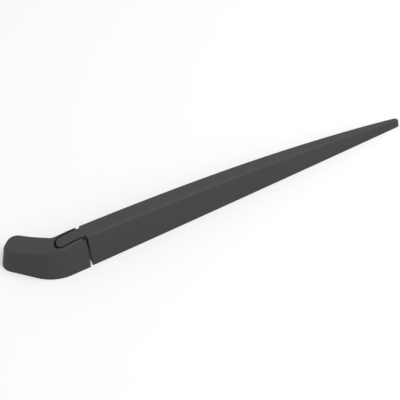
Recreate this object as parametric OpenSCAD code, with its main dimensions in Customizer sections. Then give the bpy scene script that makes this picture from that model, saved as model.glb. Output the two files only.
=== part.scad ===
// Wiper arm for a rear window: hinged arm shell, cranked mounting head with its
// clip-on cover, pivot pin in flanged bushes, and the spring that presses the arm down.
// Origin: the spindle axis at the head's underside. +X runs along the arm to its tip, +Z is up.

/* [Arm shell] */
// Length of the arm from the gap at the cover to the tip
arm_length = 305; // [220:1:420]
// Width over the bottom edges at the gap
root_width = 29.8; // [28:0.2:31]
// Width over the bottom edges at the tip
tip_width = 8.3; // [7.5:0.1:12]
// How late along the arm the width falls, 1 for evenly
width_taper = 1.1; // [1:0.05:1.3]
// Width of the top panel at the gap
root_top_width = 14.3; // [14.1:0.1:16]
// Width of the top panel at the tip
tip_top_width = 3.4; // [3:0.1:5]
// How late along the arm the top panel narrows, 1 for evenly
top_taper = 2.4; // [1.8:0.1:3]
// Height at the gap
root_height = 25.6; // [25:0.2:28]
// Height at the tip
tip_height = 5.5; // [5:0.5:8]
// How late along the arm the height falls, 1 for evenly
height_taper = 2.3; // [1.8:0.1:3]
// Wall thickness at the gap
root_wall = 2; // [1.8:0.1:2.2]
// Wall thickness at the tip
tip_wall = 1.5; // [1.2:0.1:1.8]
// Radius of the ridge beside the top panel, at the gap
ridge_radius = 3.1; // [2.3:0.1:3.2]
// Plan radius of the rounded tip
tip_radius = 3; // [1:0.5:3.5]
// Solid length at the tip
tip_solid = 8; // [5:1:14]
// Thickness of the stiffening ribs
rib_thickness = 1.4; // [1:0.1:2]
// Spacing of the stiffening ribs
rib_pitch = 30; // [20:1:60]

/* [Tongue] */
// Reach of the tongue past the gap, towards the head
tongue_reach = 23; // [20:0.5:23.5]
// Width of the tongue
tongue_width = 9.4; // [9:0.1:9.5]
// Corner radius of the tongue's end
tongue_corner = 4; // [2:0.5:4.5]

/* [Cover] */
// Angle of the crank, in plan
crank_angle = 47; // [30:1:52]
// Distance from the gap to the corner of the crank
gap_to_bend = 26.3; // [25:0.1:30]
// Distance from the corner of the crank to the spindle
bend_to_spindle = 24.5; // [21:0.5:30]
// Radius of the bend on the centre line
bend_radius = 17; // [16.8:0.2:20]
// Distance from the spindle axis to the end of the cover
cover_end = 16.5; // [15.5:0.5:20]
// Width over the bottom edges at the gap
cover_width = 31; // [30:0.5:32]
// Width over the bottom edges at the spindle
heel_width = 32.6; // [31:0.2:33.4]
// Width of the cover's top at the spindle
heel_top_width = 19.6; // [18:0.2:21]
// How late towards the spindle the cover's top widens, 1 for evenly
crown_taper = 1.8; // [1:0.1:2.2]
// Height of the cover at its far end
heel_height = 14.8; // [13.5:0.1:16]
// Lean of the cover's far end, from its bottom edge to its top
heel_lean = 0.7; // [0.4:0.1:2]
// Corner radius of the far end at its bottom edge, in plan
heel_corner = 10; // [9:0.5:12]
// Corner radius of the far end at its top, in plan
heel_top_corner = 8; // [6:0.5:9]
// Radius of the crease round the cover's top
crease_radius = 2.6; // [1.8:0.1:3]
// Wall thickness of the cover
cover_wall = 1.6; // [1.3:0.1:1.8]
// Gap between the cover and the arm shell
arm_gap = 1.3; // [1.1:0.1:1.6]
// How far the cover's front edges lean back at the bottom
front_lean = 1.4; // [0.6:0.1:2]
// Gap between the tongue and the sides of its slot
slot_clearance = 1.2; // [1.1:0.1:1.4]
// Gap between the tongue's end and the slot
slot_end_clearance = 2; // [1.6:0.1:2.4]
// Clearance between the cover's ribs and the spindle boss
rib_clearance = 0.15; // [0.1:0.05:0.3]

/* [Hinge] */
// Distance from the gap back to the hinge axis
hinge_back = 9.3; // [9.2:0.1:9.6]
// Depth of the hinge axis below the top at the gap
hinge_depth = 7.2; // [7.1:0.1:7.4]
// Largest fold of the arm, in degrees
fold_max = 45; // [30:1:45]
// Diameter of the hinge pin
pin_d = 4; // [3.6:0.1:4.2]
// Radius of the hinge eyes
eye_radius = 4.4; // [4.2:0.1:4.5]
// Distance from the middle plane to the lugs of the head
lug_inner = 1.4; // [1.35:0.05:1.45]
// Thickness of a lug of the head
lug_thickness = 2; // [1.8:0.1:2.1]
// Thickness of a cheek of the arm
cheek_thickness = 1.6; // [1.5:0.1:2]
// Outer diameter of a bush
bush_d = 5.6; // [5.2:0.1:6]
// Diameter of a bush's flange
bush_flange_d = 7.6; // [7:0.1:8]
// Thickness of a bush's flange
bush_flange = 0.4; // [0.3:0.05:0.5]
// Running clearance of turning pins, on the radius
running_fit = 0.05; // [0.03:0.01:0.09]
// Side clearance between turning faces
side_clearance = 0.1; // [0.05:0.05:0.2]
// Diameter of the hinge pin's head
pin_head_d = 5.4; // [5:0.1:6]
// Thickness of the hinge pin's head
pin_head = 0.6; // [0.5:0.1:0.8]

/* [Mounting head] */
// Drop of the bottom rims below the head's underside
rim_drop = 1; // [0.5:0.1:2]
// Outer diameter of the spindle boss
boss_d = 19; // [17.5:0.5:19.5]
// Height of the spindle boss
boss_height = 7.5; // [7:0.5:8]
// Width of the head's neck
neck_width = 18; // [17:0.5:18.5]
// Thickness of the neck's floor
neck_floor = 5; // [4:0.1:5.2]
// Thickness of the neck's side webs
neck_web = 2.2; // [1.8:0.1:2.4]
// Height of the neck's side webs
neck_web_height = 9; // [8:0.5:9.5]
// Diameter of the knurled insert
insert_d = 13.6; // [13:0.2:14.4]
// Diameter of the hole for the spindle's thread
thread_hole_d = 8.4; // [8.2:0.1:8.8]
// Diameter of the straight seat at the underside, below the taper
seat_d = 11; // [10:0.1:11.4]
// Height of the straight seat
seat_height = 1.6; // [1.2:0.1:2]
// Height of the straight hole above the taper
thread_hole_height = 2; // [1.5:0.5:3]

/* [Spring] */
// Distance of the link pin behind the hinge axis
link_back = 6.5; // [6.2:0.1:6.6]
// Distance of the link pin below the hinge axis
link_below = 6.5; // [6.4:0.1:7]
// Diameter of the link pin
link_pin_d = 2.6; // [2.4:0.1:3]
// Diameter of the boss round the link pin
link_boss_d = 5.8; // [5:0.1:5.9]
// Thickness of the link
link_thickness = 2.4; // [2:0.1:2.5]
// Width of the link's curved part
link_width = 3; // [2.4:0.1:3.2]
// Gap between the hinge pin and the link's curved part
link_gap = 1.55; // [1.3:0.05:1.7]
// Distance from the link pin to the spring's hole
link_length = 19; // [18.6:0.2:22]
// Diameter of the hole for the spring's hook
link_hole_d = 2.2; // [2:0.1:2.6]
// Distance of the anchor pin in front of the hinge axis
anchor_reach = 85; // [75:1:100]
// Diameter of the anchor pin
anchor_pin_d = 4; // [3.6:0.1:4.4]
// Diameter of the spring wire
wire_d = 1.4; // [1.2:0.1:1.5]
// Outer diameter of the spring's coil
coil_d = 9.6; // [9:0.1:10]
// Number of turns of the coil
coil_turns = 20; // [14:1:24]

/* [Blade pivot] */
// Distance from the tip back to the blade pin
blade_pin_back = 45; // [38:1:60]
// Height of the blade pin's axis above the bottom rims
blade_pin_height = 4; // [3.4:0.1:4.6]
// Diameter of the blade pin
blade_pin_d = 4; // [3.6:0.1:4.4]
// How far a cross pin reaches into each wall
pin_embed = 1; // [0.8:0.1:1.1]

/* [Hidden] */
$fn = 48;
eps = 0.01;
plastic = [0.30, 0.29, 0.28];
die_cast = [0.55, 0.56, 0.57];
steel = [0.66, 0.67, 0.68];
brass = [0.72, 0.62, 0.38];

// Places in plan and height
bend = bend_to_spindle * [cos(crank_angle), -sin(crank_angle)];
gap_x = bend.x + gap_to_bend;
arm_y = bend.y;
rim_z = -rim_drop;
hinge_x = gap_x - hinge_back;
hinge_z = rim_z + root_height - hinge_depth;
// Stations of the centre line, measured from the gap towards the head
bend_tangent = bend_radius * tan(crank_angle / 2);
bend_start = gap_to_bend - bend_tangent;
bend_end = bend_start + bend_radius * crank_angle * PI / 180;
spindle_s = bend_end + bend_to_spindle - bend_tangent;
heel_s = spindle_s + cover_end;
// Hinge widths, from the middle plane outwards
lug_outer = lug_inner + lug_thickness;
cheek_inner = lug_outer + bush_flange + side_clearance;
cheek_outer = cheek_inner + cheek_thickness;
// Places in the hinge plane, measured from the hinge axis
link_point = [-link_back, -link_below];
anchor_point = [anchor_reach, -link_below];
hook_point = link_point + [link_length, 0];
// Stop faces between the arm's web and the head's toes
stop_front = 6.2;
stop_level = -0.9;
stop_clearance = 0.1;
toe_reach = 9;
toe_bottom = -5;
// Height of the notch that lets the link through the web
notch_height = 6;
// Gap between the folding cheeks and the cover's top
fold_clearance = 0.4;
// How far a cheek deepens towards the shell
cheek_root = 4;
// How far a tongue rib reaches down into its cheek
rib_bite = 1.4;
// How far a tongue rib stays inside the tongue's edge
rib_inset = 0.1;
// Height of the closed end's lower edge above the bottom rims
end_lift = 0.6;
// Height of the cross ribs' lower edge, as a share of the arm's height there
rib_low = 0.35;
// Free length of the channel on the hinge side of the blade pin
blade_room = 18;
// Clearance round the coil in the anchor block
coil_clearance = 0.8;
// How far the lugs' feet reach behind the link pin and in front of the hinge
lug_heel = 5.5;
lug_toe = 2;
// How far a lug's straight edges cut into its round ones
lug_bite = 0.06;
// How far the neck reaches in under the lugs' heels
neck_bite = 1.5;
// Height of the boss ribs' lower edge above the bottom rims
rib_foot = 2.5;
// Length of the ribs that rest on the neck's side webs
seat_rib_length = 3;
// What the fold relief cuts off the cover's front
front_stock = 0.6;
// Length of the chamfer on the hinge pin's end and head
pin_chamfer = 0.4;
// Wall of the link round its holes
link_eye_wall = 1.3;
hook_hole_wall = 1.7;
// Height of the tip's rounded end, as a share of the height beside it
tip_crown = 0.75;
// Spring: radius of its flat hook, and the free length of wire at each end of the coil
hook_radius = 2.9;
hook_lead = 1.2;
anchor_lead = 3.4;
// Moulding resolution
arc_steps = 4;
arm_steps = 26;
tip_steps = 5;
bend_steps = 8;
corner_steps = 6;

function mix(a, b, t) = a + (b - a) * t;
function unit(v) = v / norm(v);
function turned(v, angle) = [v.x * cos(angle) - v.y * sin(angle), v.x * sin(angle) + v.y * cos(angle)];
function quad(a, b, c, d) = [[a, b, c], [a, c, d]];

// How far the link turns while the arm folds up, and the centre of its curved part: it comes to lie
// round the hinge pin when the arm is folded
link_pull = turned(anchor_point, fold_max) - link_point;
link_turn = atan2(link_pull.y, link_pull.x);
curve_centre = link_point + turned(-link_point, -link_turn);

// Half of a draughted, open-bottomed section, from the bottom edge to the start of the flat top.
// Each point is [inset from the outer bottom edge, height]; wall = 0 gives the outer face.
function half_profile(height, draught, radius, wall) =
    let (
        slope = atan2(draught, height),
        top = height - wall,
        foot = wall / cos(slope),
        shoulder = foot + draught * top / height,
        bend_r = max(radius - wall, 0.25 * radius),
        centre = [shoulder + bend_r * tan((90 - slope) / 2), top - bend_r]
    )
    concat(
        [[foot, 0]],
        [for (i = [0:arc_steps])
            let (a = mix(slope, 90, i / arc_steps))
            centre + bend_r * [-cos(a), sin(a)]]
    );
// Inset at which the flat top starts
function flat_start(height, draught, radius, wall) =
    let (p = half_profile(height, draught, radius, wall))
    p[len(p) - 1].x;

// The arm's measures at station x, from the gap (0) to the tip (arm_length)
function arm_t(x) = x / arm_length;
function arm_half_width(x) = mix(root_width, tip_width, pow(arm_t(x), width_taper)) / 2;
function arm_half_top(x) = mix(root_top_width, tip_top_width, pow(arm_t(x), top_taper)) / 2;
function arm_height(x) = mix(root_height, tip_height, pow(arm_t(x), height_taper));
function arm_wall(x) = mix(root_wall, tip_wall, arm_t(x));
function arm_ridge(x) = ridge_radius * arm_half_top(x) / arm_half_top(0);
function arm_draught(x) = arm_half_width(x) - arm_half_top(x);
// Half width of the arm at a height above its bottom rim, less part of its wall
function arm_half_at(x, z, inset) =
    arm_half_width(x) - arm_draught(x) * z / arm_height(x) - inset;

// Height of the top surface at station s past the gap, towards the head: level at both ends
function head_height(s) =
    mix(root_height, heel_height, (1 - cos(180 * min(max(s / heel_s, 0), 1))) / 2);

// Plan position at station s and sideways offset e (towards the far side)
function plan(s, e) =
    let (turn = (s - bend_start) / bend_radius * 180 / PI)
    s <= bend_start ? [gap_x - s, arm_y + e]
    : s < bend_end ? [gap_x - bend_start - (bend_radius - e) * sin(turn),
                      arm_y + bend_radius - (bend_radius - e) * cos(turn)]
    : (s - spindle_s) * [-cos(crank_angle), sin(crank_angle)] + e * [sin(crank_angle), cos(crank_angle)];

// Extrudes a drawing of x and z from the hinge's middle plane: from y0 to y1
module side_plate(y0, y1) {
    translate([hinge_x, arm_y + y1, hinge_z])
        rotate([90, 0, 0])
            linear_extrude(y1 - y0)
                children();
}

// Cylinder along Y, centred on the middle plane, at a place in the hinge plane
module cross_pin(place, d, length) {
    translate([hinge_x + place.x, arm_y - length / 2, hinge_z + place.y])
        rotate([-90, 0, 0])
            cylinder(d = d, h = length);
}

// Arm shell

// One side of a section, from the bottom edge to the start of the flat top
function arm_side(x, wall, shrink, flatten) =
    let (half = arm_half_width(x))
    [for (p = half_profile(arm_height(x), arm_draught(x), arm_ridge(x), wall))
        [(half - p.x) * shrink, p.y * mix(tip_crown, 1, shrink) * flatten]];

function arm_ring(x, shrink, hollow) =
    let (
        out = arm_side(x, 0, shrink, 1),
        in = arm_side(x, arm_wall(x), shrink, hollow ? 1 : 0),
        n = len(out)
    )
    concat(
        [for (p = out) [gap_x + x, arm_y - p.x, rim_z + p.y]],
        [for (i = [n - 1:-1:0]) [gap_x + x, arm_y + out[i].x, rim_z + out[i].y]],
        [for (p = in) [gap_x + x, arm_y - p.x, rim_z + p.y]],
        [for (i = [n - 1:-1:0]) [gap_x + x, arm_y + in[i].x, rim_z + in[i].y]]
    );

module arm_moulding() {
    loop = 2 * (arc_steps + 2);
    ring = 2 * loop;
    hollow_end = arm_length - tip_solid;
    tip_start = arm_length - tip_radius;
    stations = concat(
        [for (i = [0:arm_steps]) [hollow_end * i / arm_steps, 1, true]],
        [[hollow_end + arm_wall(hollow_end) / 2, 1, false]],
        [for (i = [0:tip_steps])
            let (a = 90 * i / tip_steps, x = tip_start + tip_radius * sin(a))
            [x, 1 - tip_radius * (1 - cos(a)) / arm_half_width(x), false]]
    );
    last = len(stations) - 1;
    points = [for (st = stations) each arm_ring(st[0], st[1], st[2])];
    faces = concat(
        // Outer and inner skins
        [for (k = [0:last - 1], i = [0:loop - 2])
            each quad(ring * k + i, ring * k + i + 1, ring * (k + 1) + i + 1, ring * (k + 1) + i)],
        [for (k = [0:last - 1], i = [loop:ring - 2])
            each quad(ring * k + i + 1, ring * k + i, ring * (k + 1) + i, ring * (k + 1) + i + 1)],
        // Bottom rims
        [for (k = [0:last - 1])
            each quad(ring * k + loop, ring * k, ring * (k + 1), ring * (k + 1) + loop)],
        [for (k = [0:last - 1])
            let (a = ring * k + loop - 1, b = ring * (k + 1) + loop - 1)
            each quad(a, a + loop, b + loop, b)],
        // End at the gap, and the tip
        [for (i = [0:loop - 2]) each quad(i + 1, i, i + loop, i + loop + 1)],
        [for (i = [0:loop - 2])
            let (a = ring * last + i)
            each quad(a, a + 1, a + loop + 1, a + loop)]
    );
    polyhedron(points, faces, convexity = 6);
}

// Tongue

// A ring of the tongue: its four corners at station s
function tongue_ring(s) =
    let (
        r = tongue_corner,
        past = s - (tongue_reach - r),
        half = tongue_width / 2 - (past <= 0 ? 0 : r - sqrt(max(r * r - past * past, 0))),
        top = rim_z + head_height(s)
    )
    [[gap_x - s, arm_y - half, top], [gap_x - s, arm_y + half, top],
     [gap_x - s, arm_y - half, top - root_wall], [gap_x - s, arm_y + half, top - root_wall]];

// Flat strip that runs on from the arm's top panel, with rounded corners at its end
module tongue_moulding() {
    stations = concat(
        [for (i = [0:5]) tongue_reach - tongue_corner * (1 - cos(15 + 15 * i))],
        [for (i = [1:5]) (tongue_reach - tongue_corner) * (1 - i / 5)]
    );
    last = len(stations) - 1;
    faces = concat(
        quad(1, 0, 2, 3),
        [for (k = [0:last - 1])
            let (a = 4 * k, b = a + 4)
            each concat(
                quad(a, a + 1, b + 1, b),
                quad(a + 3, a + 2, b + 2, b + 3),
                quad(a + 2, a, b, b + 2),
                quad(a + 1, a + 3, b + 3, b + 1)
            )],
        quad(4 * last, 4 * last + 1, 4 * last + 3, 4 * last + 2)
    );
    polyhedron([for (s = stations) each tongue_ring(s)], faces, convexity = 4);
}

// Cross rib between the middles of the side walls, from below the top panel down to a height
module cross_rib(x, thickness, low) {
    z1 = arm_height(x) - arm_wall(x) / 2;
    inset = arm_wall(x) * 0.55;
    far = x + thickness;
    w0 = arm_half_at(far, low, inset);
    w1 = arm_half_at(far, z1, inset);
    translate([gap_x + x, arm_y, rim_z])
        rotate([90, 0, 90])
            linear_extrude(thickness)
                polygon([[-w0, low], [w0, low], [w1, z1], [-w1, z1]]);
}

// Clear way along the channel for the link and the spring
module spring_way(from, to, half, low, high) {
    translate([gap_x + from, arm_y - half, rim_z + low])
        cube([to - from, 2 * half, high - low]);
}

// Outline of a hinge cheek, which deepens to its root at the end of the shell. Its upper edge stays
// below the cover's top when the arm is folded.
module cheek_outline() {
    edge = eye_radius + fold_clearance;
    circle(r = eye_radius);
    polygon([[0, -eye_radius], [hinge_back, -eye_radius - cheek_root],
        [hinge_back, sqrt(2) * edge - hinge_back], edge * [cos(45), sin(45)], [0, eye_radius]]);
}

// Middle of the tongue's thickness at station s, measured from the hinge axis
function tongue_middle(s) = head_height(s) - root_wall / 2 + rim_z - hinge_z;

// Rib under an edge of the tongue, falling from its end to the hinge eye
module tongue_rib_outline() {
    tail = tongue_reach - tongue_corner;
    bite = eye_radius - rib_bite;
    polygon([[hinge_back - tail, tongue_middle(tail)],
        [hinge_back - tail, tongue_middle(tail) - root_wall],
        [0, bite],
        [hinge_back, bite],
        [hinge_back, tongue_middle(0)],
        [0, tongue_middle(hinge_back)]]);
}

// Web that rests on the toes of the head, notched for the link
module stop_web() {
    difference() {
        side_plate(-cheek_inner - eps, cheek_inner + eps)
            translate([stop_front, stop_level])
                square([root_wall, hinge_depth - root_wall / 2 - stop_level]);
        side_plate(-lug_inner, lug_inner)
            translate([stop_front - 1, stop_level - 1])
                square([root_wall + 2, notch_height]);
    }
}

// Block that holds the spring's anchor pin on both sides of the coil
module anchor_block() {
    x = anchor_reach - hinge_back;
    z = hinge_z - rim_z - link_below;
    d = anchor_pin_d;
    difference() {
        cross_rib(x - d, 2 * d, z - d);
        spring_way(x - d - 1, x + d + 1, coil_d / 2 + coil_clearance, -1, z + coil_d / 2 + coil_clearance);
    }
}

// The arm's hinge end: the tongue, with the cheeks, ribs and stop web under it
module hinge_tongue() {
    rib_half = tongue_width / 2 - rib_inset;
    color(plastic)
        difference() {
            union() {
                tongue_moulding();
                stop_web();
                for (y = [-cheek_outer, cheek_inner])
                    side_plate(y, y + cheek_thickness)
                        cheek_outline();
                for (y = [-rib_half, cheek_inner])
                    side_plate(y, y + rib_half - cheek_inner)
                        tongue_rib_outline();
            }
            cross_pin([0, 0], pin_d, 2 * cheek_outer + 2);
        }
}

module arm_shell() {
    first_rib = anchor_reach - hinge_back + rib_pitch;
    last_rib = arm_length - blade_pin_back - blade_room;
    color(plastic)
        difference() {
            union() {
                arm_moulding();
                // Closed end of the side walls at the gap
                difference() {
                    cross_rib(0, root_wall, end_lift);
                    spring_way(-1, root_wall + 1, cheek_inner, -1, root_height - root_wall);
                }
                anchor_block();
                for (x = [first_rib:rib_pitch:last_rib])
                    cross_rib(x, rib_thickness, arm_height(x) * rib_low);
            }
            cross_pin(anchor_point, anchor_pin_d, anchor_pin_length());
            cross_pin(blade_point(), blade_pin_d, blade_pin_length());
        }
}

// Pins of the arm

// Length of a cross pin whose ends are hidden in the walls
function wall_pin_length(x, z, d) = 2 * (arm_half_at(x, z + d / 2, arm_wall(x)) + pin_embed);
function anchor_pin_length() =
    wall_pin_length(anchor_reach - hinge_back, hinge_z - rim_z - link_below, anchor_pin_d);
function blade_point() = [hinge_back + arm_length - blade_pin_back, rim_z + blade_pin_height - hinge_z];
function blade_pin_length() = wall_pin_length(arm_length - blade_pin_back, blade_pin_height, blade_pin_d);

module spring_anchor_pin() {
    color(steel)
        cross_pin(anchor_point, anchor_pin_d, anchor_pin_length());
}

module blade_pivot_pin() {
    color(steel)
        cross_pin(blade_point(), blade_pin_d, blade_pin_length());
}

module hinge_pin() {
    c = pin_chamfer;
    head_r = pin_head_d / 2;
    r = pin_d / 2;
    tail = pin_head + 2 * cheek_outer;
    color(steel)
        translate([hinge_x, arm_y - cheek_outer - pin_head, hinge_z])
            rotate([-90, 0, 0])
                rotate_extrude($fn = 48)
                    polygon([[0, 0], [head_r - c, 0], [head_r, c], [head_r, pin_head],
                        [r, pin_head], [r, tail], [r - c, tail + c], [0, tail + c]]);
}

// Cover

function cover_share(s) = min(s / bend_end, 1);
function cover_half(s) = mix(cover_width, heel_width, cover_share(s)) / 2;
function cover_half_top(s) = mix(root_top_width, heel_top_width, pow(cover_share(s), crown_taper)) / 2;

// Where the far end's corners start, at the bottom edge and at the top
corner_s = heel_s - heel_corner;
top_corner_s = heel_s - heel_lean - heel_top_corner;

// One side of the cover: [station on the bottom edge, station on the crease, direction of the corner]
function cover_stations() = concat(
    [for (i = [0:4]) let (s = mix(arm_gap - front_stock, bend_start, i / 4)) [s, s, 0]],
    [for (i = [1:bend_steps]) let (s = mix(bend_start, bend_end, i / bend_steps)) [s, s, 0]],
    [for (i = [1:3]) [mix(bend_end, corner_s, i / 3), mix(bend_end, top_corner_s, i / 3), 0]],
    [for (i = [1:corner_steps]) [corner_s, top_corner_s, 90 * i / corner_steps]]
);

// Point of a rounded outline that stands half off the centre line, as [station, offset]
function corner_point(s, half, radius, turn) =
    [s + radius * sin(turn), half - radius + radius * cos(turn)];

// The side wall and the crease of the cover at one station, as [station, offset, height]
function cover_column(st, wall) =
    let (
        foot = corner_point(st[0], cover_half(st[0]), heel_corner, st[2]),
        crease = corner_point(st[1], cover_half_top(st[1]), heel_top_corner, st[2]),
        out = [sin(st[2]), cos(st[2])],
        along = [cos(st[2]), -sin(st[2])],
        draught = (foot - crease) * out,
        shift = (crease - foot) * along,
        height = head_height(crease.x)
    )
    [for (p = half_profile(height, draught, crease_radius, wall))
        let (q = foot - p.x * out + shift * p.y / height * along)
        [q.x, q.y, p.y]];

module cover_moulding() {
    stations = cover_stations();
    n = len(stations);
    rows = arc_steps + 2;
    // Columns run round the cover: near side from the gap to the heel, then the far side back
    function skin(wall) = concat(
        [for (j = [0:n - 1]) [for (q = cover_column(stations[j], wall)) [q.x, -q.y, q.z]]],
        [for (j = [n - 1:-1:0]) cover_column(stations[j], wall)]
    );
    function placed(q) = let (p = plan(q.x, q.y)) [p.x, p.y, rim_z + q.z];
    out = skin(0);
    in = skin(cover_wall);
    columns = 2 * n;
    inner = rows * columns;
    points = concat(
        [for (c = out) each [for (q = c) placed(q)]],
        [for (c = in) each [for (q = c) placed(q)]]
    );
    function at(c, r) = rows * c + r;
    top = rows - 1;
    faces = concat(
        // Outer and inner side walls
        [for (c = [0:columns - 2], r = [0:rows - 2])
            each quad(at(c, r), at(c + 1, r), at(c + 1, r + 1), at(c, r + 1))],
        [for (c = [0:columns - 2], r = [0:rows - 2])
            let (a = inner + at(c, r), b = inner + at(c + 1, r))
            each quad(b, a, a + 1, b + 1)],
        // Top skins, from the near side across to the far side
        [for (c = [0:n - 2])
            each quad(at(c, top), at(c + 1, top), at(columns - 2 - c, top), at(columns - 1 - c, top))],
        [for (c = [0:n - 2])
            each quad(inner + at(c + 1, top), inner + at(c, top), inner + at(columns - 1 - c, top),
                inner + at(columns - 2 - c, top))],
        // Bottom rim
        [for (c = [0:columns - 2])
            each quad(at(c + 1, 0), at(c, 0), inner + at(c, 0), inner + at(c + 1, 0))],
        // Open end at the gap: near wall, top, far wall
        [for (r = [0:rows - 2])
            each quad(at(0, r), at(0, r + 1), inner + at(0, r + 1), inner + at(0, r))],
        quad(at(0, top), at(columns - 1, top), inner + at(columns - 1, top), inner + at(0, top)),
        [for (r = [0:rows - 2])
            each quad(at(columns - 1, r + 1), at(columns - 1, r), inner + at(columns - 1, r),
                inner + at(columns - 1, r + 1))]
    );
    polyhedron(points, faces, convexity = 6);
}

// Slot in the cover's top, open at the gap, in which the tongue lies
module tongue_slot() {
    half = tongue_width / 2 + slot_clearance;
    r = tongue_corner + slot_clearance;
    end = tongue_reach + slot_end_clearance;
    translate([gap_x, arm_y, hinge_z])
        linear_extrude(root_height)
            union() {
                translate([-end + r, -half])
                    square([end, 2 * half]);
                translate([-end, -half + r])
                    square([r + eps, 2 * (half - r)]);
                for (y = [-half + r, half - r])
                    translate([-end + r, y])
                        circle(r = r);
            }
}

// What is cut from the cover's front: an arc round the hinge axis, past which the arm's end turns,
// and below it the leaning front edge of the skirts
module fold_relief() {
    reach = hinge_back - arm_gap;
    drop = root_height - hinge_depth;
    far = root_height;
    side_plate(-cover_width, cover_width)
        difference() {
            translate([0, -drop - 1])
                square([far, drop + far]);
            circle(r = reach, $fn = 96);
            polygon([[-1, 0], [reach, 0], [reach - 2 * front_lean, -2 * drop], [-1, -2 * drop]]);
        }
}

module cover_cap() {
    color(plastic)
        union() {
            difference() {
                cover_moulding();
                tongue_slot();
                fold_relief();
            }
            // Ribs that locate the cover on the spindle boss, from the near side and from its far end
            boss_rib(-90 - crank_angle, heel_width / 2, (heel_width - heel_top_width) / 2,
                head_height(spindle_s));
            boss_rib(180 - crank_angle, cover_end, heel_lean, head_height(heel_s));
            // Ribs under the top, which rest on the neck's side webs
            for (e = [-1, 1])
                seat_rib(e * (neck_width - neck_web) / 2);
        }
}

// Upright rib from the spindle boss out to a wall that stands reach away at the bottom and leans in
module boss_rib(direction, reach, draught, height) {
    inner = boss_d / 2 + rib_clearance;
    top = height - cover_wall / 2;
    mid = reach - cover_wall / 2;
    knee = min(top, (mid - inner - rib_thickness / 2) * height / draught);
    rotate([0, 0, direction])
        translate([0, rib_thickness / 2, rim_z])
            rotate([90, 0, 0])
                linear_extrude(rib_thickness)
                    polygon([[inner, rib_foot], [mid - draught * rib_foot / height, rib_foot],
                        [mid - draught * knee / height, knee], [inner, knee]]);
}

// Rib from the cover's top down to a side web of the neck
module seat_rib(e) {
    s = spindle_s - boss_d / 2 - seat_rib_length / 2;
    place = plan(s, e);
    top = rim_z + head_height(s) - cover_wall / 2;
    bottom = neck_web_height + side_clearance;
    translate([place.x, place.y, bottom])
        rotate([0, 0, -crank_angle])
            translate([0, -rib_thickness / 2, 0])
                cube([seat_rib_length, rib_thickness, top - bottom]);
}

// Mounting head

// Plan outline of the neck between two stations, between two sideways offsets
function neck_outline(s0, s1, e0, e1) =
    let (steps = 14)
    concat(
        [for (i = [0:steps]) plan(mix(s0, s1, i / steps), e0)],
        [for (i = [steps:-1:0]) plan(mix(s0, s1, i / steps), e1)]
    );

// Outline of a lug of the head: the hinge eye, the link pin's boss, the toe and the foot in the neck.
// The straight edges leave the round ones almost as tangents.
module lug_outline() {
    foot = -hinge_z;
    boss_r = link_boss_d / 2;
    toe_top = stop_level - stop_clearance;
    back = atan2(link_point.y, link_point.x) + 360;
    upper = back - acos((eye_radius - boss_r) / norm(link_point));
    heel = [-link_back - lug_heel, foot + neck_floor];
    heel_way = heel - link_point;
    eye_r = eye_radius - lug_bite;
    pin_r = boss_r - lug_bite;
    lower = atan2(heel_way.y, heel_way.x) + 360 - acos(pin_r / norm(heel_way));
    circle(r = eye_radius);
    translate(link_point)
        circle(r = boss_r);
    polygon([[-link_back - lug_heel, foot], [-lug_toe, foot], [toe_reach, toe_bottom],
        [toe_reach, toe_top], [eye_radius / 2, toe_top], [0, 0],
        eye_r * [cos(upper), sin(upper)], link_point + pin_r * [cos(upper), sin(upper)],
        link_point, link_point + pin_r * [cos(lower), sin(lower)], heel]);
}

module mounting_head() {
    neck_start = hinge_back + link_back + lug_heel - neck_bite;
    color(die_cast)
        difference() {
            union() {
                cylinder(d = boss_d, h = boss_height, $fn = 64);
                linear_extrude(neck_floor)
                    polygon(neck_outline(neck_start, spindle_s, -neck_width / 2, neck_width / 2));
                for (e = [-neck_width / 2, neck_width / 2 - neck_web])
                    linear_extrude(neck_web_height)
                        polygon(neck_outline(neck_start, spindle_s - boss_d / 4, e, e + neck_web));
                for (y = [-lug_outer, lug_inner])
                    side_plate(y, y + lug_thickness)
                        lug_outline();
            }
            translate([0, 0, -1])
                cylinder(d = insert_d, h = boss_height + 2, $fn = 64);
            cross_pin([0, 0], bush_d, 2 * lug_outer + 2);
            cross_pin(link_point, link_pin_d, 2 * lug_outer + 2);
        }
}

module spindle_insert() {
    straight = thread_hole_d / 2;
    color(brass)
        rotate_extrude($fn = 64)
            polygon([[seat_d / 2, 0], [insert_d / 2, 0], [insert_d / 2, boss_height], [straight, boss_height],
                [straight, boss_height - thread_hole_height], [seat_d / 2, seat_height]]);
}

module hinge_bush() {
    color(brass)
        rotate([-90, 0, 0])
            rotate_extrude($fn = 48)
                polygon([[pin_d / 2 + running_fit, 0], [bush_d / 2, 0], [bush_d / 2, lug_thickness],
                    [bush_flange_d / 2, lug_thickness], [bush_flange_d / 2, lug_thickness + bush_flange],
                    [pin_d / 2 + running_fit, lug_thickness + bush_flange]]);
}

module hinge_bush_far() {
    translate([hinge_x, arm_y + lug_inner, hinge_z])
        hinge_bush();
}

module hinge_bush_near() {
    translate([hinge_x, arm_y - lug_inner, hinge_z])
        mirror([0, 1, 0])
            hinge_bush();
}

module link_pin() {
    color(steel)
        cross_pin(link_point, link_pin_d, 2 * lug_outer);
}

// Spring link

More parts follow.
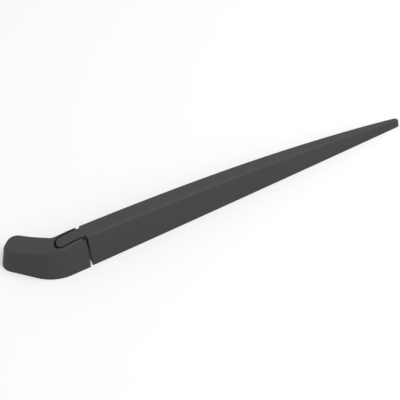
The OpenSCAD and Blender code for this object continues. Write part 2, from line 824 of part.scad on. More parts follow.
// The curved part passes below the hinge pin and comes up round it as the arm folds
module spring_link() {
    half = link_thickness / 2;
    curve_inner = pin_d / 2 + link_gap;
    curve_outer = curve_inner + link_width;
    eye = link_pin_d / 2 + link_eye_wall;
    tip = link_hole_d / 2 + hook_hole_wall;
    // Where the straight parts leave the curve's outer edge
    leave = curve_outer * [cos(15), -sin(15)];
    color(steel)
        difference() {
            union() {
                cross_pin(link_point, 2 * eye, link_thickness);
                cross_pin(hook_point, 2 * tip, link_thickness);
                translate([hinge_x + curve_centre.x, arm_y, hinge_z + curve_centre.y])
                    rotate([90, 0, 0])
                        rotate([0, 0, 180])
                            rotate_extrude(angle = 180, $fn = 64)
                                translate([curve_inner, -half])
                                    square([link_width, link_thickness]);
                side_plate(-half, half)
                    polygon([link_point + [0, -eye], curve_centre + [-leave.x, leave.y],
                        curve_centre - [curve_inner, 0], link_point + [0, eye]]);
                side_plate(-half, half)
                    polygon([curve_centre + [curve_inner, 0], curve_centre + leave,
                        hook_point + [0, -tip], hook_point + [0, tip]]);
            }
            cross_pin(link_point, link_pin_d + 2 * running_fit, 2 * link_thickness);
            cross_pin(hook_point, link_hole_d, 2 * link_thickness);
        }
}

// Tension spring

// Centre line of the wire: a hook in the flat plane, the coil, and a hook round the anchor pin
function spring_path() =
    let (
        r = (coil_d - wire_d) / 2,
        pin_r = anchor_pin_d / 2 + wire_d / 2 + running_fit,
        start = hook_point.x + 2 * hook_radius + hook_lead,
        end = anchor_point.x - pin_r - anchor_lead,
        z = -link_below,
        per_turn = 12,
        steps = coil_turns * per_turn,
        hook_a = [for (i = [0:8]) let (a = -30 + 210 * i / 8)
            [hook_point.x + hook_radius - hook_radius * sin(a), -hook_radius * cos(a), z]],
        lead_a = [[start - 1.6, r * 0.9, z], [start - 0.6, r * 0.99, z + 0.3]],
        coil = [for (i = [1:steps]) let (a = 360 * i / per_turn)
            [mix(start, end, i / steps), r * cos(a), z + r * sin(a)]],
        lead_b = [[end + 0.8, r * 0.8, z + r * 0.55], [end + 1.9, r * 0.3, z + r * 0.75]],
        hook_b = [for (i = [0:8]) let (a = 130 - 250 * i / 8)
            [anchor_point.x + pin_r * cos(a), 0, z + pin_r * sin(a)]]
    )
    concat(hook_a, lead_a, coil, lead_b, hook_b);

// Directions across the path, carried along it without twist
function carried(path, tangents) =
    [for (i = 0, n = unit(cross(tangents[0], [0.3, 0.2, 1])); i < len(path);
        i = i + 1, n = i < len(path) ? unit(n - (n * tangents[i]) * tangents[i]) : n) n];

module wire(path, d, sides) {
    count = len(path);
    tangents = [for (i = [0:count - 1]) unit(path[min(i + 1, count - 1)] - path[max(i - 1, 0)])];
    across = carried(path, tangents);
    points = [for (i = [0:count - 1], j = [0:sides - 1])
        let (a = 360 * j / sides)
        path[i] + d / 2 * (cos(a) * across[i] + sin(a) * cross(tangents[i], across[i]))];
    faces = concat(
        [[for (j = [0:sides - 1]) j]],
        [for (i = [0:count - 2], j = [0:sides - 1])
            let (k = (j + 1) % sides)
            each quad(sides * i + j, sides * (i + 1) + j, sides * (i + 1) + k, sides * i + k)],
        [[for (j = [sides - 1:-1:0]) sides * (count - 1) + j]]
    );
    polyhedron(points, faces, convexity = 10);
}

module tension_spring() {
    color(steel)
        translate([hinge_x, arm_y, hinge_z])
            wire(spring_path(), wire_d, 8);
}

arm_shell();
hinge_tongue();
cover_cap();
mounting_head();
spindle_insert();
hinge_pin();
hinge_bush_near();
hinge_bush_far();
spring_link();
link_pin();
tension_spring();
spring_anchor_pin();
blade_pivot_pin();
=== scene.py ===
"""Wiper arm for a rear window: the finished look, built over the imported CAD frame."""
import logging
import math
from dataclasses import dataclass
from enum import Enum
from typing import Callable, Sequence

import bmesh
import bpy
import numpy as np
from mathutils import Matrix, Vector


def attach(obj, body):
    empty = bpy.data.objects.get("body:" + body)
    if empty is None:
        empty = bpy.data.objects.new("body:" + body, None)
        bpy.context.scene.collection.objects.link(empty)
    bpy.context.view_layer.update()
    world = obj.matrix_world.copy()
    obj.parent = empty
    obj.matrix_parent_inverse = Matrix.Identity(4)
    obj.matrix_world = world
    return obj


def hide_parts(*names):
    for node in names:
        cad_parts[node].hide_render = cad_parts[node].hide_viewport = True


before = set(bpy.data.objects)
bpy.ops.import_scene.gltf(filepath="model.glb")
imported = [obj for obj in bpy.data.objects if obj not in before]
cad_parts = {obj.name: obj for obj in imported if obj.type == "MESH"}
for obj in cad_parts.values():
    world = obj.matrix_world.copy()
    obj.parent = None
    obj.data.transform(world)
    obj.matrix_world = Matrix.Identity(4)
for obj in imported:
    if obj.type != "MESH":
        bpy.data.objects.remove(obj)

LOG = logging.getLogger("wiper_arm")
MM = 0.001
QUARTER = math.pi / 2
# Distances within which points become one: in metres, and in millimetres on a drawn plate
WELD = 1e-7
PLATE_WELD = 1e-4
# Inner radius of a bend in a wall, as a share of the outer one, at the least
LEAST_BEND = 0.25
# Chords in the rounding of a rim or a slot's edge
ROUND_STEPS = 4

Pair = tuple[float, float]
Colour = tuple[float, float, float]


class Side(Enum):
    """The two sides of the arm, as the sign of the sideways offset."""

    NEAR = -1
    FAR = 1


class Slot(Enum):
    """Material slots that the record names for the arm and the cover; the rebuilt mouldings here take one shared
    material instead.
    """

    ARM = "arm_plastic"
    COVER = "cover_plastic"


# Drawing helpers


def mix(a: float, b: float, t: float) -> float:
    """Returns the value a share t of the way from a to b."""
    return a + (b - a) * t


def between(a: Pair, b: Pair, steps: int) -> list[Pair]:
    """Returns the points that divide the line from a to b into steps, without its ends."""
    return [(mix(a[0], b[0], i / steps), mix(a[1], b[1], i / steps)) for i in range(1, steps)]


def quarter(steps: int, first: int = 0) -> list[float]:
    """Returns the angles that divide a quarter turn into steps, from the first of them."""
    return [QUARTER * i / steps for i in range(first, steps + 1)]


def unit(v: np.ndarray) -> np.ndarray:
    """Returns v at length one."""
    return v / np.linalg.norm(v)


def inner_bend(radius: float, wall: float) -> float:
    """Returns the radius of a bend at a depth in the wall, from its outer radius."""
    return max(radius - wall, LEAST_BEND * radius)


def rim_inset(height: float, draught: float, wall: float) -> float:
    """Returns how far in a leaning wall reaches at its foot, from its height, draught and thickness."""
    return wall / math.cos(math.atan2(draught, height))


def rounded(before: Pair, corner: Pair, after: Pair, radius: float, steps: int) -> list[Pair]:
    """Rounds one corner of a drawn line.

    Args:
        before: A point on the line before the corner.
        corner: The corner itself.
        after: A point on the line after it.
        radius: The radius of the arc.
        steps: The number of chords in the arc.

    Returns:
        The points of the arc, from the line before to the line after.
    """
    c = np.array(corner, float)
    u, v = unit(np.array(before, float) - c), unit(np.array(after, float) - c)
    half = math.acos(max(-1.0, min(1.0, float(u @ v)))) / 2
    centre = c + unit(u + v) * radius / math.sin(half)
    start = c + u * radius / math.tan(half) - centre
    end = c + v * radius / math.tan(half) - centre
    turn = math.atan2(start[0] * end[1] - start[1] * end[0], float(start @ end))
    points = []
    for i in range(steps + 1):
        a = turn * i / steps
        points.append((centre[0] + start[0] * math.cos(a) - start[1] * math.sin(a),
                       centre[1] + start[0] * math.sin(a) + start[1] * math.cos(a)))
    return points


def half_profile(height: float, draught: float, radius: float, wall: float, steps: int) -> list[Pair]:
    """Draws half of a draughted, open-bottomed section.

    Args:
        height: Height of the flat top above the bottom edge.
        draught: How far the wall leans in over that height.
        radius: Outer radius between the wall and the top.
        wall: Distance in from the outer face, 0 for the outer face itself.
        steps: The number of chords in the arc.

    Returns:
        Points of inset and height: the foot, then the arc from the wall to the flat top.
    """
    slope = math.atan2(draught, height)
    top, foot, bend = height - wall, rim_inset(height, draught, wall), inner_bend(radius, wall)
    cx = foot + draught * top / height + bend * math.tan((QUARTER - slope) / 2)
    angles = [mix(slope, QUARTER, i / steps) for i in range(steps + 1)]
    return [(foot, 0.0)] + [(cx - bend * math.cos(a), top - bend + bend * math.sin(a)) for a in angles]


def circle(radius: float, steps: int = 48) -> list[Pair]:
    """Returns the points of a circle round the drawing's origin."""
    turns = [2 * math.pi * i / steps for i in range(steps)]
    return [(radius * math.cos(a), radius * math.sin(a)) for a in turns]


class MeshMaker:
    """Gathers patches drawn in millimetres and welds them into one object in metres."""

    def __init__(self) -> None:
        """Starts with nothing drawn."""
        self.points: list[Sequence[float]] = []
        self.faces: list[list[int]] = []

    def patch(self, grid: np.ndarray) -> None:
        """Adds a patch of quads.

        Args:
            grid: Points as rows by columns by three.
        """
        rows, columns = grid.shape[:2]
        first = len(self.points)
        self.points.extend(grid.reshape(-1, 3).tolist())
        for i in range(rows - 1):
            for j in range(columns - 1):
                at = first + i * columns + j
                self.faces.append([at, at + 1, at + columns + 1, at + columns])

    def strip(self, one: Sequence, other: Sequence) -> None:
        """Adds a strip of quads between two lines of as many points."""
        self.patch(np.array([list(one), list(other)], float))

    def mesh(self, name: str) -> bpy.types.Mesh:
        """Welds what was gathered.

        Args:
            name: Name of the mesh.

        Returns:
            The mesh in metres, with its faces turned outwards and shaded smooth.
        """
        bm = bmesh.new()
        verts = [bm.verts.new(Vector(p) * MM) for p in self.points]
        for face in self.faces:
            bm.faces.new([verts[i] for i in face])
        bmesh.ops.remove_doubles(bm, verts=bm.verts, dist=WELD)
        bmesh.ops.dissolve_degenerate(bm, edges=bm.edges, dist=WELD)
        bmesh.ops.recalc_face_normals(bm, faces=bm.faces)
        mesh = bpy.data.meshes.new(name)
        bm.to_mesh(mesh)
        bm.free()
        mesh.polygons.foreach_set("use_smooth", [True] * len(mesh.polygons))
        return mesh


def new_object(name: str, data: bpy.types.ID) -> bpy.types.Object:
    """Makes an object and links it to the scene.

    Args:
        name: Name of the object.
        data: Its mesh, curve, camera or light.

    Returns:
        The object.
    """
    obj = bpy.data.objects.new(name, data)
    bpy.context.scene.collection.objects.link(obj)
    return obj


def evaluated_mesh(obj: bpy.types.Object) -> bpy.types.Mesh:
    """Returns a new mesh of what an object's curve or modifiers make."""
    graph = bpy.context.evaluated_depsgraph_get()
    return bpy.data.meshes.new_from_object(obj.evaluated_get(graph), depsgraph=graph)


def soften(obj: bpy.types.Object, width: float, angle: float = 45.0, segments: int = 3) -> None:
    """Rounds an object's sharp edges and bakes the result into its mesh.

    Args:
        obj: The object to change.
        width: Width of the rounding in millimetres.
        angle: Edges that turn by more than this many degrees are rounded.
        segments: Number of facets in the rounding.
    """
    bevel = obj.modifiers.new("edge", "BEVEL")
    bevel.width = width * MM
    bevel.segments = segments
    bevel.limit_method = "ANGLE"
    bevel.angle_limit = math.radians(angle)
    bevel.use_clamp_overlap = False
    bevel.harden_normals = True
    bevel.miter_outer = "MITER_ARC"
    done = evaluated_mesh(obj)
    obj.modifiers.clear()
    obj.data = done


def plate(outline: Sequence[Pair], holes: Sequence[Sequence[Pair]],
          place: Callable[[float, float, float], Sequence], low: float, high: float,
          edge: float = 0.15) -> bpy.types.Mesh:
    """Makes a flat plate with rounded edges from a drawing.

    Args:
        outline: Points of the outer line, in millimetres.
        holes: Lines of the holes.
        place: Puts a drawn point at a height into the row's frame.
        low: Lower face of the plate.
        high: Upper face of the plate.
        edge: Radius of the edges.

    Returns:
        The mesh, in metres.
    """
    curve = bpy.data.curves.new("plate", "CURVE")
    curve.dimensions = "2D"
    curve.fill_mode = "BOTH"
    curve.extrude = (high - low) / 2 - edge
    curve.bevel_depth = edge
    curve.offset = -edge
    curve.bevel_resolution = 1
    for line in [outline, *holes]:
        spline = curve.splines.new("POLY")
        spline.points.add(len(line) - 1)
        spline.use_cyclic_u = True
        for point, (x, y) in zip(spline.points, line):
            point.co = (x, y, 0, 1)
    obj = new_object("plate", curve)
    mesh = evaluated_mesh(obj)
    bpy.data.objects.remove(obj)
    bpy.data.curves.remove(curve)
    bm = bmesh.new()
    bm.from_mesh(mesh)
    bmesh.ops.remove_doubles(bm, verts=bm.verts, dist=PLATE_WELD)
    for v in bm.verts:
        x, y, z = v.co
        v.co = Vector(place(x, y, (low + high) / 2 + z)) * MM
    bmesh.ops.recalc_face_normals(bm, faces=bm.faces)
    bm.to_mesh(mesh)
    bm.free()
    mesh.polygons.foreach_set("use_smooth", [False] * len(mesh.polygons))
    return mesh


def joined(obj: bpy.types.Object, parts: Sequence[bpy.types.Mesh]) -> None:
    """Adds closed parts to an object's mesh.

    Args:
        obj: The object that takes them.
        parts: Meshes in the same frame.
    """
    objects = [obj] + [new_object("part", mesh) for mesh in parts]
    with bpy.context.temp_override(active_object=obj, selected_editable_objects=objects, object=obj):
        bpy.ops.object.join()


# The shared line of the arm and its head


@dataclass(frozen=True)
class HeadLine:
    """Plan line and heights that the arm, the cover and the head share, in millimetres.

    Stations run along the centre line from the gap at the cover towards the head, and offsets run
    sideways from it towards the far side.
    """

    crank: float = math.radians(47)
    gap_to_bend: float = 26.3
    bend_to_spindle: float = 24.5
    bend_radius: float = 17.0
    cover_end: float = 16.5
    rim_z: float = -1.0
    root_height: float = 25.6
    heel_height: float = 14.8
    hinge_back: float = 9.3
    hinge_depth: float = 7.2

    @property
    def gap_x(self) -> float:
        """X of the gap between the cover and the arm."""
        return self.bend_to_spindle * math.cos(self.crank) + self.gap_to_bend

    @property
    def arm_y(self) -> float:
        """Y of the arm's middle plane."""
        return -self.bend_to_spindle * math.sin(self.crank)

    @property
    def hinge_level(self) -> float:
        """Height of the hinge axis over the rims."""
        return self.root_height - self.hinge_depth

    @property
    def hinge(self) -> Pair:
        """X and Z of the hinge axis."""
        return self.gap_x - self.hinge_back, self.rim_z + self.hinge_level

    @property
    def tangent(self) -> float:
        """Length from the corner of the crank to an end of its bend."""
        return self.bend_radius * math.tan(self.crank / 2)

    @property
    def bend_start(self) -> float:
        """Station where the bend starts."""
        return self.gap_to_bend - self.tangent

    @property
    def bend_end(self) -> float:
        """Station where the bend ends."""
        return self.bend_start + self.bend_radius * self.crank

    @property
    def spindle(self) -> float:
        """Station of the spindle axis."""
        return self.bend_end + self.bend_to_spindle - self.tangent

    @property
    def heel(self) -> float:
        """Station of the cover's far end."""
        return self.spindle + self.cover_end

    def top(self, s: float) -> float:
        """Height of the top surface over the rims, at a station."""
        share = min(max(s / self.heel, 0.0), 1.0)
        return mix(self.root_height, self.heel_height, (1 - math.cos(math.pi * share)) / 2)

    def plan(self, s: float, e: float) -> Pair:
        """Finds a place on the plan.

        Args:
            s: Station along the centre line.
            e: Offset sideways from it.

        Returns:
            X and Y of the place.
        """
        if s <= self.bend_start:
            return self.gap_x - s, self.arm_y + e
        if s < self.bend_end:
            turn = (s - self.bend_start) / self.bend_radius
            reach = self.bend_radius - e
            return (self.gap_x - self.bend_start - reach * math.sin(turn),
                    self.arm_y + self.bend_radius - reach * math.cos(turn))
        along, c, n = s - self.spindle, math.cos(self.crank), math.sin(self.crank)
        return -along * c + e * n, along * n + e * c

    def place(self, s: float, e: float, z: float) -> list[float]:
        """Returns the position of a station, an offset and a height over the rims."""
        x, y = self.plan(s, e)
        return [x, y, self.rim_z + z]

    def on_hinge(self, x: float, z: float, y: float) -> list[float]:
        """Returns the position of a point drawn in the hinge plane, measured from the hinge axis."""
        return [self.hinge[0] + x, self.arm_y + y, self.hinge[1] + z]

    def on_arm(self, y: float, z: float, x: float) -> list[float]:
        """Returns the position of a point of the arm's cross section, at a distance from the gap."""
        return [self.gap_x + x, self.arm_y + y, self.rim_z + z]


LINE = HeadLine()


# Arm


@dataclass
class ArmMoulding:
    """The long tapering arm, open below, with its tongue, cheeks and ribs, in millimetres."""

    length: float = 305.0
    root_width: float = 29.8
    tip_width: float = 8.3
    width_taper: float = 1.1
    root_top: float = 14.3
    tip_top: float = 3.4
    top_taper: float = 2.4
    root_height: float = 25.6
    tip_height: float = 5.5
    height_taper: float = 2.3
    root_wall: float = 2.0
    tip_wall: float = 1.5
    ridge: float = 3.1
    tip_radius: float = 3.0
    tip_solid: float = 8.0
    tip_start: float = 1.5
    tip_crown: float = 0.75
    tongue_start: float = 1.0
    tongue_reach: float = 23.0
    tongue_width: float = 9.4
    tongue_corner: float = 4.0
    cheek_inner: float = 3.9
    cheek_thickness: float = 1.6
    cheek_root: float = 4.0
    eye_radius: float = 4.4
    eye_room: float = 0.4
    eye_arc: Pair = (270.0, 60.0)
    pin_radius: float = 2.0
    rib_bite: float = 1.4
    rib_inset: float = 0.1
    rib_edge: float = 0.1
    stop_front: float = 6.2
    stop_level: float = -0.9
    web_bite: float = 0.4
    notch_half: float = 1.4
    notch_top: float = 4.1
    anchor_reach: float = 85.0
    link_below: float = 6.5
    coil_room: float = 5.6
    block_half: float = 4.0
    rib_pitch: float = 30.0
    rib_thickness: float = 1.4
    rib_low: float = 0.35
    last_rib: float = 242.0
    end_lift: float = 0.6
    end_inset: float = 0.06
    wall_bite: float = 0.55
    rim_round: float = 0.4
    edge_round: float = 0.28
    # Sections near the gap, the first and last of the even ones, and those where the hollow closes
    first_sections: tuple[float, ...] = (0.0, 1.2, 2.6)
    even_start: float = 5.0
    even_stop: float = 1.5
    even_steps: int = 70
    close_start: float = 0.5
    close_length: float = 0.8
    close_steps: int = 4
    arc_steps: int = 12
    wall_steps: int = 5
    corner_steps: int = 10
    eye_points: int = 36
    tongue_columns: int = 6

    def half_width(self, x: float) -> float:
        """Half width over the rims, at a distance from the gap."""
        return mix(self.root_width, self.tip_width, (x / self.length) ** self.width_taper) / 2

    def half_top(self, x: float) -> float:
        """Half width of the top panel."""
        return mix(self.root_top, self.tip_top, (x / self.length) ** self.top_taper) / 2

    def height(self, x: float) -> float:
        """Height of the top panel over the rims."""
        return mix(self.root_height, self.tip_height, (x / self.length) ** self.height_taper)

    def wall(self, x: float) -> float:
        """Thickness of the wall."""
        return mix(self.root_wall, self.tip_wall, x / self.length)

    def draught(self, x: float) -> float:
        """How far a side wall leans in."""
        return self.half_width(x) - self.half_top(x)

    def ridge_at(self, x: float) -> float:
        """Radius of the ridge."""
        return self.ridge * self.half_top(x) / self.half_top(0)

    def half_at(self, x: float, z: float, inset: float) -> float:
        """Half width at a height over the rims, less part of the wall."""
        return self.half_width(x) - self.draught(x) * z / self.height(x) - inset

    def side(self, x: float, wall: float) -> list[Pair]:
        """Draws one skin of half a section, from the rim to the middle of the top.

        Args:
            x: Distance from the gap.
            wall: 0 for the outer skin, or the wall's thickness for the inner one.

        Returns:
            Points of half width and height.
        """
        half, height, draught = self.half_width(x), self.height(x), self.draught(x)
        foot, *arc = half_profile(height, draught, self.ridge_at(x), wall, self.arc_steps)
        middle = (rim_inset(height, draught, self.wall(x)) / 2, 0.0)
        rim = rounded(middle, foot, arc[0], self.rim_round, ROUND_STEPS)
        start = half - arc[-1][0]
        root = self.half_width(0) - half_profile(self.root_height, self.draught(0), self.ridge,
                                                 self.root_wall if wall else 0.0, 1)[-1][0]
        edge = start * self.tongue_width / 2 / root
        columns = self.tongue_columns // 2
        top = [(half - edge * (1 - i / columns), arc[-1][1]) for i in range(columns + 1)]
        skin = [middle] + rim + between(rim[-1], arc[0], self.wall_steps) + arc + top
        return [(half - inset, z) for inset, z in skin]

    def ring(self, x: float, shrink: float = 1.0, hollow: float = 1.0) -> tuple[np.ndarray, np.ndarray]:
        """Draws a whole section.

        Args:
            x: Distance from the gap.
            shrink: Share of the width that is left, less than one at the rounded tip.
            hollow: Share of the hollow's height that is left.

        Returns:
            The outer and the inner skin, each from the near rim to the far rim, with as many points.
        """
        skins = []
        for wall, flat in ((0.0, 1.0), (self.wall(x), hollow)):
            half = [(y * shrink, z * mix(self.tip_crown, 1, shrink) * flat) for y, z in self.side(x, wall)]
            full = [(-y, z) for y, z in half] + [(y, z) for y, z in half[-2::-1]]
            skins.append(np.array([LINE.on_arm(y, z, x) for y, z in full]))
        return skins[0], skins[1]

    def sections(self) -> list[tuple[float, float, float]]:
        """Lists the sections from the gap to the tip.

        Returns:
            Distance from the gap, share of the width and share of the hollow's height.
        """
        end, n = self.length - self.tip_solid, self.even_steps
        even = [mix(self.even_start, end - self.even_stop, i / n) for i in range(n + 1)]
        runs = [(x, 1.0, 1.0) for x in [*self.first_sections, *even]]
        for a in quarter(self.close_steps):
            runs.append((end - self.close_start + self.close_length * a / QUARTER, 1.0, math.cos(a)))
        runs.append((self.length - self.tip_radius - self.tip_start, 1.0, 0.0))
        for a in quarter(self.arc_steps):
            x = self.length - self.tip_radius * (1 - math.sin(a))
            runs.append((x, 1 - self.tip_radius * (1 - math.cos(a)) / self.half_width(x), 0.0))
        return runs

    def tongue_ring(self, s: float, half: float) -> tuple[np.ndarray, np.ndarray]:
        """Draws the tongue at a station.

        Args:
            s: The station.
            half: Half width of the tongue there.

        Returns:
            Its top and its underside, from its near to its far edge.
        """
        across = [half * (2 * i / self.tongue_columns - 1) for i in range(self.tongue_columns + 1)]
        top = LINE.top(s)
        return (np.array([LINE.place(s, e, top) for e in across]),
                np.array([LINE.place(s, e, top - self.root_wall) for e in across]))

    def tongue_runs(self) -> list[Pair]:
        """Lists the stations of the tongue.

        Returns:
            Station and half width, to the flat of its rounded end.
        """
        r, reach, half = self.tongue_corner, self.tongue_reach, self.tongue_width / 2
        runs = [(s, half) for s in np.linspace(self.tongue_start, reach - r, self.arc_steps)]
        return runs + [(reach - r + r * math.sin(a), half - r * (1 - math.cos(a)))
                       for a in quarter(self.corner_steps, 1)]

    def shell(self) -> bpy.types.Object:
        """Builds the shell and its tongue as one closed skin.

        Returns:
            The object, with its sharp edges rounded.
        """
        maker = MeshMaker()
        rings = [self.ring(*section) for section in self.sections()]
        outer, inner = (np.array([ring[skin] for ring in rings]) for skin in (0, 1))
        count = outer.shape[1]
        first, last = (count - 1 - self.tongue_columns) // 2, (count - 1 + self.tongue_columns) // 2
        maker.patch(outer)
        maker.patch(inner)
        maker.strip(outer[-1], inner[-1])
        maker.strip(outer[0][:first + 1], inner[0][:first + 1])
        maker.strip(outer[0][last:], inner[0][last:])
        tops, lows = [outer[0][first:last + 1]], [inner[0][first:last + 1]]
        for s, half in self.tongue_runs():
            top, low = self.tongue_ring(s, half)
            tops.append(top)
            lows.append(low)
        maker.patch(np.array(tops))
        maker.patch(np.array(lows))
        maker.strip(tops[-1], lows[-1])
        for edge in (0, -1):
            maker.strip([top[edge] for top in tops], [low[edge] for low in lows])
        obj = new_object("arm_moulding", maker.mesh("arm_moulding"))
        soften(obj, self.edge_round)
        return obj

    def cheek(self, side: Side) -> bpy.types.Mesh:
        """Builds a hinge cheek, bored for the pin.

        Args:
            side: The side of the arm that it stands on.

        Returns:
            Its mesh.
        """
        eye, end = self.eye_radius, LINE.hinge_back + self.root_wall / 2
        slant = (eye + self.eye_room) * math.sqrt(0.5)
        angles = np.radians(np.linspace(*self.eye_arc, self.eye_points))
        outline = [(eye * math.cos(a), eye * math.sin(a)) for a in angles]
        outline += [(slant, slant), (end, 2 * slant - end), (end, -eye - self.cheek_root)]
        low = self.cheek_inner if side is Side.FAR else -self.cheek_inner - self.cheek_thickness
        return plate(outline, [circle(self.pin_radius)], LINE.on_hinge, low, low + self.cheek_thickness)

    def tongue_rib(self, side: Side) -> bpy.types.Mesh:
        """Builds the rib under one edge of the tongue, which falls to the hinge eye.

        Args:
            side: The edge that it stands under.

        Returns:
            Its mesh.
        """
        tail, back, half_wall = self.tongue_reach - self.tongue_corner, LINE.hinge_back, self.root_wall / 2
        level = [LINE.top(s) - half_wall - LINE.root_height + LINE.hinge_depth for s in (tail, back, 0.0)]
        bite = self.eye_radius - self.rib_bite
        thick = self.tongue_width / 2 - self.rib_inset - self.cheek_inner
        outline = [(back - tail, level[0]), (back - tail, level[0] - self.root_wall), (0.0, bite), (back, bite),
                   (back, level[2]), (0.0, level[1])]
        low = self.cheek_inner if side is Side.FAR else -self.cheek_inner - thick
        return plate(outline, [], LINE.on_hinge, low, low + thick, self.rib_edge)

    def stop_web(self) -> bpy.types.Mesh:
        """Builds the web between the cheeks that rests on the head's toes, notched for the link.

        Returns:
            Its mesh.
        """
        w, n = self.cheek_inner + self.web_bite, self.notch_half
        low, high, top = self.stop_level, self.notch_top, LINE.hinge_depth - self.root_wall / 2
        outline = [(-w, low), (-n, low), (-n, high), (n, high), (n, low), (w, low), (w, top), (-w, top)]
        return plate(outline, [], lambda y, z, x: LINE.on_hinge(x, z, y), self.stop_front,
                     self.stop_front + self.root_wall)

    def across(self, x: float, thickness: float, low: float, way: Pair | None = None) -> list[Pair]:
        """Draws a cross wall between the middles of the side walls.

        Args:
            x: Distance of its near face from the gap.
            thickness: Its thickness.
            low: Height of its lower edge over the rims.
            way: Half width and top of the clear way cut up into it, if any.

        Returns:
            Points of offset and height over the rims.
        """
        inset, far = self.wall(x) * self.wall_bite, x + thickness
        high = self.height(x) - self.wall(x) / 2
        w0, w1 = self.half_at(far, low, inset), self.half_at(far, high, inset)
        notch = []
        if way:
            half, top = way
            notch = [(-half, low), (-half, top), (half, top), (half, low)]
        return [(-w0, low), *notch, (w0, low), (w1, high), (-w1, high)]

    def cross_walls(self) -> list[bpy.types.Mesh]:
        """Builds the closed end at the gap, the block for the spring's anchor pin and the ribs.

        Returns:
            Their meshes.
        """
        start = self.anchor_reach - LINE.hinge_back
        level = LINE.hinge_level - self.link_below
        end_way = (self.cheek_inner, self.root_height - self.root_wall)
        walls = [(self.end_inset, self.root_wall - self.end_inset, self.end_lift, end_way),
                 (start - self.block_half, 2 * self.block_half, level - self.block_half,
                  (self.coil_room, level + self.coil_room))]
        x = start + self.rib_pitch
        while x <= self.last_rib:
            walls.append((x, self.rib_thickness, self.height(x) * self.rib_low, None))
            x += self.rib_pitch
        return [plate(self.across(x, thick, low, way), [], LINE.on_arm, x, x + thick)
                for x, thick, low, way in walls]

    def build(self) -> bpy.types.Object:
        """Builds the arm and puts it in the place of its CAD solids.

        Returns:
            The object.
        """
        obj = self.shell()
        parts = [self.stop_web(), *self.cross_walls()]
        for side in Side:
            parts += [self.cheek(side), self.tongue_rib(side)]
        joined(obj, parts)
        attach(obj, "arm")
        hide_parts("arm_shell", "hinge_tongue")
        return obj


# Cover


@dataclass(frozen=True)
class Column:
    """Where one column of the cover stands.

    The two stations are those of the rim and of the crease, before the corner of the far end; turn is
    the angle round that corner in radians, across the share of the way from it to the middle of the
    far end, and share the place on the slot's edge, less than zero beside the slot.
    """

    foot: float
    crease: float
    turn: float = 0.0
    across: float = 0.0
    share: float = -1.0


